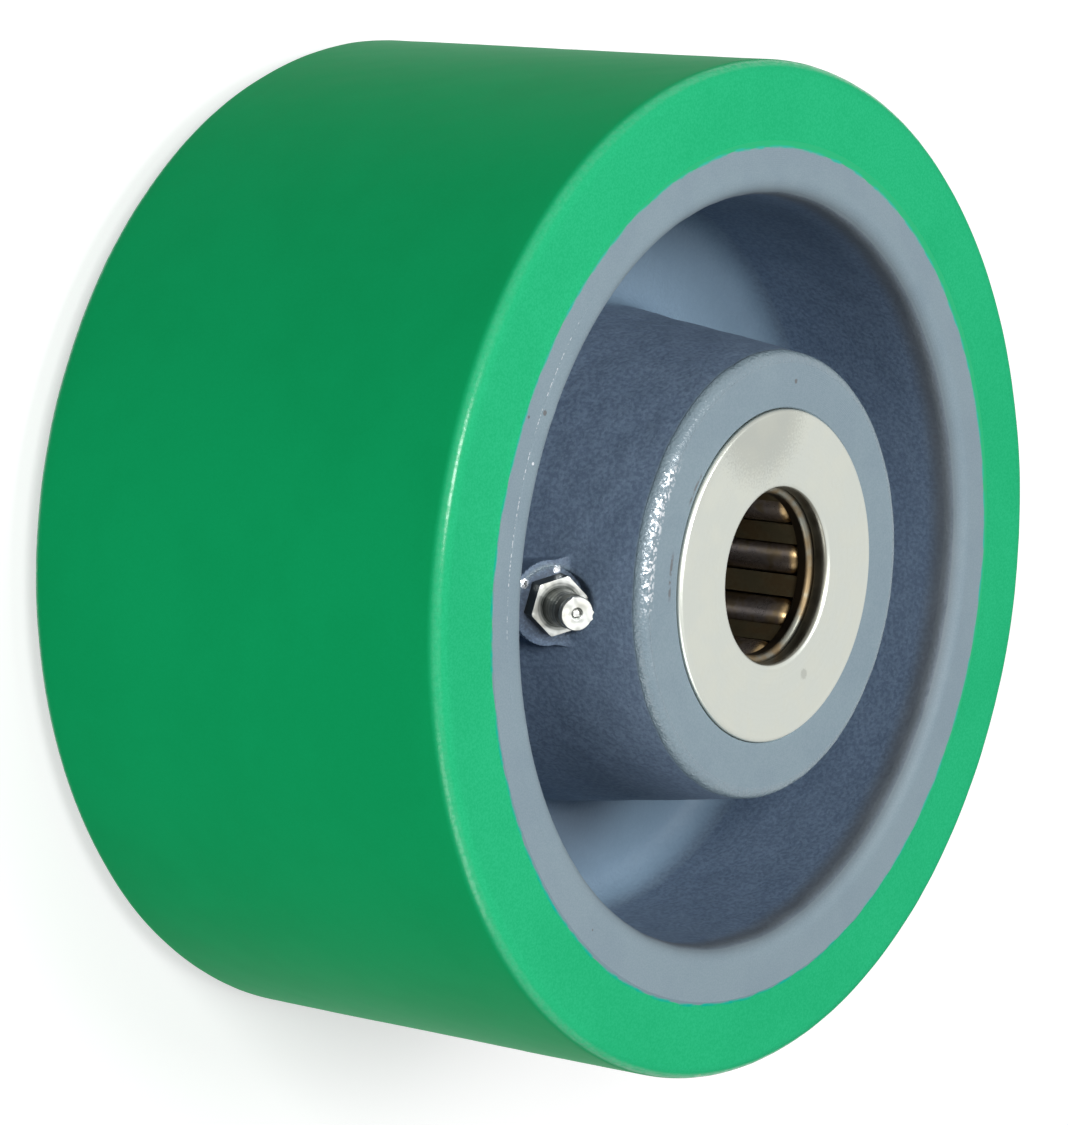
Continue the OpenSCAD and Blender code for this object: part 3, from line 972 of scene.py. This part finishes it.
    def with_boss(self, points: np.ndarray) -> tuple[np.ndarray, np.ndarray]:
        """Raises the boss on the hub's outside and cuts its spot face.

        Seen from the axis, the boss is a leaning cylinder cut off by its seat's plane, so at height z and
        sideways place y its outside is the nearer of the plane, x = seat.x - (z - seat.z) way.z / way.x, and
        the cylinder, x = seat.x + (v + (z - seat.z) way.x) / way.z with v = sqrt(boss_r^2 - y^2). The cutter
        leaves no more than the farther of that plane and its own wall on the axis's side.

        Args:
            points: (n, m, 3) points of the turned section.

        Returns:
            The points with the boss, and how near each is to the lit side of the spot face's rim, which takes
            a painted highlight.
        """
        x, y, z = (points[..., k] for k in range(3))
        r, angle = np.hypot(x, y), np.arctan2(y, x)
        seat, way = self.line.seat, self.line.way
        up, spread = z - seat[2], np.abs(r * np.sin(angle))
        plane = seat[0] - up * way[2] / way[0]
        reach = np.sqrt((self.boss_r ** 2 - spread ** 2).clip(0)) - 4 * (spread - self.boss_r).clip(0)
        boss = smooth_min(plane, seat[0] + (reach + up * way[0]) / way[2], self.boss_round)
        cutter = np.sqrt((self.spotface_r ** 2 - spread ** 2).clip(0))
        cut = np.maximum(plane, seat[0] + (-cutter + up * way[0]) / way[2])
        raised = smooth_max(r, boss, self.boss_blend)
        lowered = np.where(spread < self.spotface_r, smooth_min(raised, cut, self.spotface_round), raised)
        on_hub = ((z > 16 * MM) & (z < 50 * MM) & (np.abs(r - self.hub_outside(z)) < 0.4 * MM)
                  & (np.abs(angle) < self.boss_window))
        share = np.where(on_hub, lowered, r) / r
        shaped = np.stack([x * share, y * share, z], axis=-1)
        away = shaped - seat
        away -= (away @ way)[..., None] * way
        ring = bell(np.linalg.norm(away, axis=-1) - self.spotface_r - 0.4 * MM, 0.7 * MM)
        return shaped, ring * on_hub * (away @ np.array(self.bright_side) / self.spotface_r).clip(0, 1)

    def rim_line(self, profile: np.ndarray, points: np.ndarray) -> np.ndarray:
        """A fine burr where two cuts of the rim's face meet: a low broken ridge that fades round the turn.

        Args:
            profile: (n, 2) radii and heights of the section.
            points: (n, m, 3) points of the casting.

        Returns:
            (n, m) heights in metres.
        """
        near = 0.5 + 0.5 * np.cos(np.arctan2(points[0, :, 1], points[0, :, 0]) + math.radians(18))
        on_face = np.abs(profile[:, 1] - self.sizes.side_z) < SAME
        ridge = self.burr_h * np.where(on_face, bell(profile[:, 0] - self.burr_r, self.burr_w), 0)
        return ridge[:, None] * near ** 4 * (self.breaks.at(points) + 0.35).clip(0, 1.2)

    def nicks(self, points: np.ndarray) -> np.ndarray:
        """Small round dents at the inner edge of the front rim, as depths at (n, m, 3) points, in metres."""
        dent = np.zeros(points.shape[:2])
        edge = np.array([[self.sizes.rim_r - self.rim_face_w - 1.4 * MM, self.sizes.side_z - 0.25 * MM]])
        for degrees, size, depth in self.nicked:
            at = turned(edge, np.radians([degrees]))
            dent += depth * bell(np.linalg.norm(points - at, axis=-1), size)
        return dent

    def build(self) -> None:
        """Makes the casting: the turned section with its boss, and the cast skin along its normals."""
        profile, marks = self.section()
        turn = self.turn()
        points, brink = self.with_boss(turned(profile, turn))
        skin = np.convolve(np.pad(marks, 3, "edge"), np.full(7, 1 / 7), "valid")[:, None]
        height = self.grit_h * self.grit.at(points) + self.lump_h * self.lumps.at(points) - self.skin_depth
        height = skin * height + self.rim_line(profile, points) - self.nicks(points)
        height[np.abs(profile[:, 0] - self.sizes.rim_r) < SAME] = 0
        # Painted highlight: on the lit side of the spot face's rim the mark drops to 0.42, which gives it the
        # paler, glossy paint of the turned faces
        worn = marks[:, None] - (marks[:, None] - 0.42).clip(0) * brink
        points += turned_normals(profile, turn) * height[..., None]
        grid_piece("core_casting", points, worn, self.finish, "cast_core", "wheel_core")


@dataclass
class RetainingWasher:
    """A pressed washer with a rounded rim and a rounded hole."""

    sizes: WheelSizes
    finish: bpy.types.Material
    name: str
    side: int
    hole_r: float = 17.5 * MM
    rim_round: float = 0.8 * MM
    lip_round: float = 1.2 * MM
    columns: int = 288
    dish: Waves = Waves(31, 18 * MM, 50 * MM, 24)
    dish_depth: float = 0.012 * MM

    def section(self) -> Section:
        """The front washer's closed section, from its hole's lower edge outwards and back over its top."""
        r, top, low = self.sizes.washer_r, self.sizes.washer_top, self.sizes.washer_low
        lip = (self.hole_r + self.lip_round, top - self.lip_round)
        path = Section(self.hole_r, low, 0.9).lines((r, low, 4 * MM), (r, top - self.rim_round, 1.2 * MM))
        path.arc((r - self.rim_round, top - self.rim_round), self.rim_round, 0, 90, 8)
        path.line(lip[0], top, 1.4 * MM)
        # The lower half of the hole's rounding and the hole's wall take dirt and painted shade, which also
        # keeps the highlight off that half
        path.arc(lip, self.lip_round, 90, 130, 4).arc(lip, self.lip_round, 130, 180, 5, 0.75)
        return path.line(self.hole_r, low + 0.2 * MM, 0.5 * MM, 0.9)

    def build(self) -> None:
        """Makes the washer: its face is pressed in by slow waves of a few hundredths of a millimetre."""
        profile, marks = self.section().arrays()
        points = turned(profile, even_turn(self.columns))
        flat = profile[:, 1] > self.sizes.washer_top - SAME
        points[flat, :, 2] -= self.dish_depth * (2 + self.dish.at(points[flat])).clip(0)
        points[..., 2] *= self.side
        grid_piece(f"{self.name}_plate", points, marks, self.finish, "washers", self.name)


@dataclass
class RollerBearing:
    """The cage and its rollers, which carry the wheel on its axle."""

    sizes: WheelSizes
    ring_finish: bpy.types.Material
    bar_finish: bpy.types.Material
    roller_finish: bpy.types.Material
    edge_r: float = 2.0 * MM
    crown: float = 0.004 * MM
    columns: int = 72

    def roller(self) -> tuple[np.ndarray, np.ndarray]:
        """One roller about the axis: a ground cylinder with rounded ends, slightly crowned towards them.

        Returns:
            Its grid of points, and a mark for each row that rises from 0 to 1 over the end's rounding.
        """
        s, edge_r = self.sizes, self.edge_r
        flat, end = s.roller_r - edge_r, s.roller_z - edge_r
        path = Section(0.0, -s.roller_z).line(flat, -s.roller_z, 1.2 * MM)
        path.arc((flat, -end), edge_r, -90, 0, 6).line(s.roller_r, end, 4 * MM)
        path.arc((flat, end), edge_r, 0, 90, 6).line(0.0, s.roller_z, 1.2 * MM)
        profile = path.arrays()[0]
        height = np.abs(profile[:, 1])
        profile[:, 0] -= np.where(height < end, self.crown * (height / end) ** 8, 0)
        return turned(profile, even_turn(self.columns)), ((height - end + 0.4 * MM) / (1.2 * MM)).clip(0, 1)

    def build(self) -> None:
        """Makes each roller in its node's place and dresses the cage's rings and bars."""
        solid, marks = self.roller()
        for name in sorted(frame["nodes"]):
            if name.endswith("_cage_ring"):
                dress(frame["nodes"][name], self.ring_finish)
            elif name.startswith("cage_bar_"):
                dress(frame["nodes"][name], self.bar_finish)
            elif name.startswith("roller_"):
                low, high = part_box(name)
                middle = np.array([(low.x + high.x) / 2, (low.y + high.y) / 2, 0.0])
                grid_piece(f"ground_{name}", solid + middle, marks, self.roller_finish, "rollers", name,
                           body=name, closed_rows=False)
        log.info("cage: rings and bars finished")


@dataclass
class GreaseFitting:
    """The grease fitting: threaded shank, hexagon, ridged shoulder, neck and blunt head, bored through."""

    finish: bpy.types.Material
    line: FittingLine
    shank_r: float = 4.85 * MM
    shank_len: float = 6.4 * MM
    pitch: float = 0.94 * MM
    thread_depth: float = 0.45 * MM
    hex_af: float = 10.5 * MM
    hex_t: float = 3.9 * MM
    hex_flat_r: float = 5.85 * MM
    hex_turn: float = math.radians(42.5)
    hex_chamfer: float = math.radians(30)
    shoulder_r: float = 3.7 * MM
    shoulder_top_r: float = 3.4 * MM
    neck_r: float = 2.8 * MM
    neck_low: float = 9.85 * MM
    neck_high: float = 10.45 * MM
    band_low: float = 11.0 * MM
    band_high: float = 12.0 * MM
    head_r: float = 3.35 * MM
    nose_r: float = 3.15 * MM
    nose_z: float = 12.3 * MM
    hole_r: float = 0.8 * MM
    hole_depth: float = 0.35 * MM
    chamber_r: float = 1.5 * MM
    burrs: tuple[float, ...] = (180.0, 158.0, -75.0)
    burr_h: float = 0.28 * MM
    ridge_h: float = 0.012 * MM
    ridge_pitch: float = 1.1 * MM
    ridge_sunk: float = 0.025 * MM
    bruise_h: float = 0.02 * MM
    columns: int = 144
    bruise: Waves = Waves(41, 1.2 * MM, 3.0 * MM, 30)

    def section(self) -> Section:
        """The closed section in the fitting's own frame; the mark is how much dirt and painted shade the
        stretch holds, the hexagon's sides, shoulder and neck being darkened as painted shade besides dirt.
        """
        foot, flat_r, flat_z = -self.shank_len, self.hex_af / 2, self.hex_t
        hole, nose, chamber = self.hole_r, self.nose_z, self.chamber_r
        hole_low = nose - self.hole_depth
        return Section(hole, foot).lines(
            (self.shank_r - self.thread_depth, foot, 1.2 * MM),
            (self.shank_r, foot + 0.5 * MM, 0.1 * MM, 0.3), (self.shank_r, -0.02 * MM, 0.08 * MM, 0.3),
            (flat_r, 0.0, 0.2 * MM, 0.6), (flat_r, flat_z - 0.15 * MM, 0.3 * MM, 0.97),
            (flat_r, flat_z - 0.01 * MM, 0.03 * MM, 0.15), (self.hex_flat_r - 0.7 * MM, flat_z, 0.15 * MM),
            (self.shoulder_r + 1.1 * MM, flat_z, 0.3 * MM, 0.10),
            (self.shoulder_r + 0.5 * MM, flat_z, 0.3 * MM, 0.55), (self.shoulder_r, flat_z, 0.3 * MM, 0.85),
            (self.shoulder_top_r, self.neck_low - self.shoulder_top_r + self.neck_r, 0.07 * MM, 0.88),
            (self.neck_r, self.neck_low, 0.15 * MM, 0.85), (self.neck_r, self.neck_high, 0.15 * MM, 0.85),
            (self.head_r, self.band_low, 0.15 * MM, 0.75), (self.head_r, self.band_high, 0.2 * MM, 0.60),
            (self.nose_r, nose, 0.15 * MM, 0.0), (hole + 0.45 * MM, nose, 0.2 * MM, 0.05),
            (hole + 0.15 * MM, nose - 0.10 * MM, 0.1 * MM, 0.7), (hole, hole_low, 0.12 * MM, 0.8),
            (chamber, hole_low - chamber + hole, 0.15 * MM, 0.6), (chamber, flat_z, 2 * MM, 0.6),
            (hole, flat_z, 0.8 * MM, 0.6), (hole, foot + 1 * MM, 3 * MM, 0.6))

    def shaped(self, profile: np.ndarray, turn: np.ndarray) -> np.ndarray:
        """Radius at each point of the grid.

        On the shank the radius dips by the thread's depth times a triangle wave of height / pitch less one
        turn in 2 pi. On the hexagon it is half the width across flats over the cosine of the angle from
        the nearest flat's middle, but no more than the chamfer's cone leaves. The shoulder has fine ridges.

        Args:
            profile: (n, 2) radii and heights of the section.
            turn: (m,) angles in radians.

        Returns:
            (n, m) radii.
        """
        first, z = profile[:, :1], profile[:, 1:]
        outer = first > self.chamber_r + SAME
        dip = self.thread_depth * np.abs(2 * ((z / self.pitch - turn / (2 * math.pi)) % 1) - 1)
        on_shank = (z < -0.1 * MM) & (z > -self.shank_len + 0.3 * MM) & outer
        r = np.where(on_shank, np.minimum(first, self.shank_r - dip), first)
        flat = (turn - self.hex_turn + math.pi / 6) % (math.pi / 3) - math.pi / 6
        cone = self.hex_flat_r + (self.hex_t - z) / math.tan(self.hex_chamfer)
        on_hex = (z > -SAME) & (z < self.hex_t - 5 * SAME) & (first > self.hex_af / 2 - SAME)
        hexagon = np.minimum(self.hex_af / 2 / np.cos(flat), np.maximum(cone, self.hex_af / 2))
        r = np.where(on_hex, hexagon, r)
        away = (turn - np.radians(self.burrs)[:, None] + math.pi) % (2 * math.pi) - math.pi
        on_rim = (z > self.band_high - SAME) & (first > self.nose_r - SAME)
        r = r + self.burr_h * bell(away, math.radians(5)).sum(0) * on_rim
        ridge = self.ridge_h * np.sin(2 * math.pi * z / self.ridge_pitch)
        on_shoulder = (z > self.hex_t + 0.3 * MM) & (z < self.neck_low - 0.9 * MM) & outer
        return np.where(on_shoulder, r - self.ridge_sunk + ridge, r)

    def build(self) -> None:
        """Makes the fitting's body, with its nose a little bruised by couplers."""
        profile, marks = self.section().arrays()
        turn = even_turn(self.columns)
        r = self.shaped(profile, turn)
        points = turned(np.stack([r, np.repeat(profile[:, 1:], len(turn), axis=1)], axis=-1), turn)
        cloud = self.bruise.at(points)
        grime = np.repeat(marks[:, None], len(turn), axis=1)
        head = (profile[:, 1] > self.band_high - SAME) & (profile[:, 0] > self.hole_r + 0.1 * MM)
        grime[head] += 0.16 * (cloud[head] + 0.3).clip(0, 1.4)
        points[head, :, 2] -= self.bruise_h * (cloud[head] + 0.5).clip(0)
        # Painted shade: the hexagon's top face darkens towards the side 135 degrees round; random dirt comes
        # on top
        flat = (np.abs(profile[:, 1] - self.hex_t) < 20 * SAME) & (profile[:, 0] > self.shoulder_r)
        away = 0.5 - 0.5 * np.cos(turn + math.radians(45))
        grime[flat] += 0.20 * away + 0.12 * (cloud[flat] + 0.2).clip(0, 1.5)
        grid_piece("fitting_body", self.line.place(points), grime.clip(0, 0.97), self.finish, "fitting",
                   "grease_fitting")


@dataclass
class CheckSpring:
    """The coil under the check ball, with closed end turns."""

    finish: bpy.types.Material
    line: FittingLine
    coil_r: float = 1.3 * MM
    wire_r: float = 0.15 * MM
    low: float = 4.1 * MM
    high: float = 10.36 * MM
    turns: int = 6
    closed: float = 0.35 * MM
    steps: int = 28
    sides: int = 8
    travel: float = 1.0 * MM

    def build(self) -> None:
        """Sweeps a round wire along the helix (coil_r cos t, coil_r sin t, climb(t)), with pointed ends."""
        t = np.arange(self.steps * self.turns + 1) / self.steps
        t = np.concatenate([[0.0], t, [float(self.turns)]])
        share = ((t - 1) / (self.turns - 2)).clip(0, 1)
        ends = self.closed * (np.minimum(t, 1) + (t - self.turns + 1).clip(0))
        climb = self.low + ends + (self.high - self.low - 2 * self.closed) * share
        wire = np.full((len(t), 1), self.wire_r)
        wire[[0, -1]] = 0
        side = even_turn(self.sides)
        out, up = self.coil_r + wire * np.cos(side), climb[:, None] + wire * np.sin(side)
        angle = 2 * math.pi * t[:, None]
        points = np.stack([out * np.cos(angle), out * np.sin(angle), up], axis=-1)
        piece = grid_piece("check_coil", self.line.place(points), np.zeros(len(t)), self.finish,
                           "spring_wire", "check_spring", closed_rows=False)
        foot = self.line.seat + self.low * self.line.way
        keep = 1 - self.travel / (self.high - self.low)
        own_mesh(piece)


# Light, floor and camera

@dataclass(frozen=True)
class Softbox:
    """A square lamp behind diffuser cloth, which hangs at its place and is turned to the wheel's middle."""

    name: str
    place: Point
    size: float
    power: float

    def build(self) -> None:
        """Hangs the lamp."""
        data = bpy.data.lights.new(self.name, "AREA")
        data.shape, data.size, data.energy = "SQUARE", self.size, self.power
        lamp = new_object(self.name, data)
        turn = (-Vector(self.place)).to_track_quat("-Z", "Y")
        lamp.matrix_world = Matrix.Translation(self.place) @ turn.to_matrix().to_4x4()


@dataclass(frozen=True)
class Studio:
    """The pale floor, the even surroundings and the lamps."""

    floor_z: float
    floor_half: float = 3.0
    floor_colour: Colour = (0.55, 0.55, 0.55)
    floor_glow: float = 0.62
    fill: float = 0.05
    fill_colour: Colour = (0.97, 0.98, 1.0)
    white: Colour = (1.0, 1.0, 1.0)
    boxes: tuple[Softbox, ...] = (
        Softbox("overhead", (-0.15, -0.33, 1.36), 0.6, 10.6),
        Softbox("key", (0.92, -0.48, 1.19), 0.45, 14.2),
        Softbox("table_side", (0.95, 1.05, 0.25), 1.0, 8.6),
    )

    def build(self) -> None:
        """Sets the surroundings, the floor and the lamps."""
        self.surroundings()
        self.floor()
        for box in self.boxes:
            box.build()

    @staticmethod
    def seen(c: Canvas) -> Value:
        """1 for rays that look straight at the background or mirror it, 0 for light on the object."""
        path = c.add("ShaderNodeLightPath", {})
        mirrored = path["Is Glossy Ray"].to("MAXIMUM", path["Is Transmission Ray"])
        return path["Is Camera Ray"].to("MAXIMUM", mirrored)

    def surroundings(self) -> None:
        """White where it is seen, and an even fill light where it lights the object."""
        world = bpy.data.worlds.new("studio")
        bpy.context.scene.world = world
        c = Canvas(world)
        fill = c.add("ShaderNodeBackground", {"Color": self.fill_colour, "Strength": self.fill})[0]
        white = c.add("ShaderNodeBackground", {"Color": self.white, "Strength": 1.0})[0]
        both = c.add("ShaderNodeMixShader", {0: self.seen(c), 1: fill, 2: white})[0]
        c.add("ShaderNodeOutputWorld", {"Surface": both})

    def floor(self) -> None:
        """A pale floor just under the wheel that keeps its shadow."""
        h, z = self.floor_half, self.floor_z
        mesh = bpy.data.meshes.new("floor")
        mesh.from_pydata([(-h, -h, z), (h, -h, z), (h, h, z), (-h, h, z)], [], [(0, 1, 2, 3)])
        floor = new_object("floor", mesh)
        material = bpy.data.materials.new("pale_floor")
        c = Canvas(material)
        pale = c.add("ShaderNodeBsdfDiffuse", {"Color": self.floor_colour})[0]
        strength = self.seen(c) * self.floor_glow
        glow = c.add("ShaderNodeEmission", {"Color": self.white, "Strength": strength})[0]
        both = c.add("ShaderNodeAddShader", {0: pale, 1: glow})[0]
        c.add("ShaderNodeOutputMaterial", {"Surface": both})
        dress(floor, material)
        floor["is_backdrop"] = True


@dataclass(frozen=True)
class PhotoCamera:
    """The camera, where the photograph was taken from. It is rolled so that the wheel lies on its tread."""

    place: Point = (0.77558, -0.17004, 0.58545)
    looks: Point = (-0.783471, 0.175319, -0.596182)
    upright: Point = (-0.142743, -0.984496, -0.101924)
    lens_mm: float = 154.37

    def build(self) -> None:
        """Makes the camera: its own z is against its view, its y is upright and its x completes them."""
        back = -Vector(self.looks).normalized()
        right = Vector(self.upright).cross(back).normalized()
        data = bpy.data.cameras.new("photo_camera")
        data.lens, data.clip_start, data.dof.use_dof = self.lens_mm, 0.01, False
        camera = new_object("photo_camera", data)
        turn = Matrix((right, back.cross(right), back)).transposed().to_4x4()
        camera.matrix_world = Matrix.Translation(self.place) @ turn
        bpy.context.scene.camera = camera


def main() -> None:
    """Builds the wheel's looks around the frame, then the studio and the camera."""
    logging.basicConfig(level=logging.INFO, format="%(name)s: %(message)s", force=True)
    cad_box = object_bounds()
    bpy.context.scene.view_settings.view_transform = "Standard"
    sizes = WheelSizes.from_frame()
    line = FittingLine.from_frame(11.5 * MM)
    Tread(sizes, TreadFinish().make()).build()
    CoreCasting(sizes, CoreFinish().make(tuple(line.seat)), line).build()
    washer_steel = Steel.WASHER.make(WASHER_MARKS)
    for name, side in (("front_washer", 1), ("rear_washer", -1)):
        RetainingWasher(sizes, washer_steel, name, side).build()
    ring_steel = Steel.CAGE.make(inside=sizes.cage_top - 0.85 * MM)
    RollerBearing(sizes, ring_steel, Steel.BAR.make(), Steel.ROLLER.make()).build()
    GreaseFitting(Steel.FITTING.make(), line).build()
    dress(frame["nodes"]["check_ball"], Steel.BALL.make())
    CheckSpring(Steel.WIRE.make(), line).build()
    Studio(floor_z=-sizes.washer_top - 0.02 * MM).build()
    PhotoCamera().build()


if __name__ == "__main__":
    main()
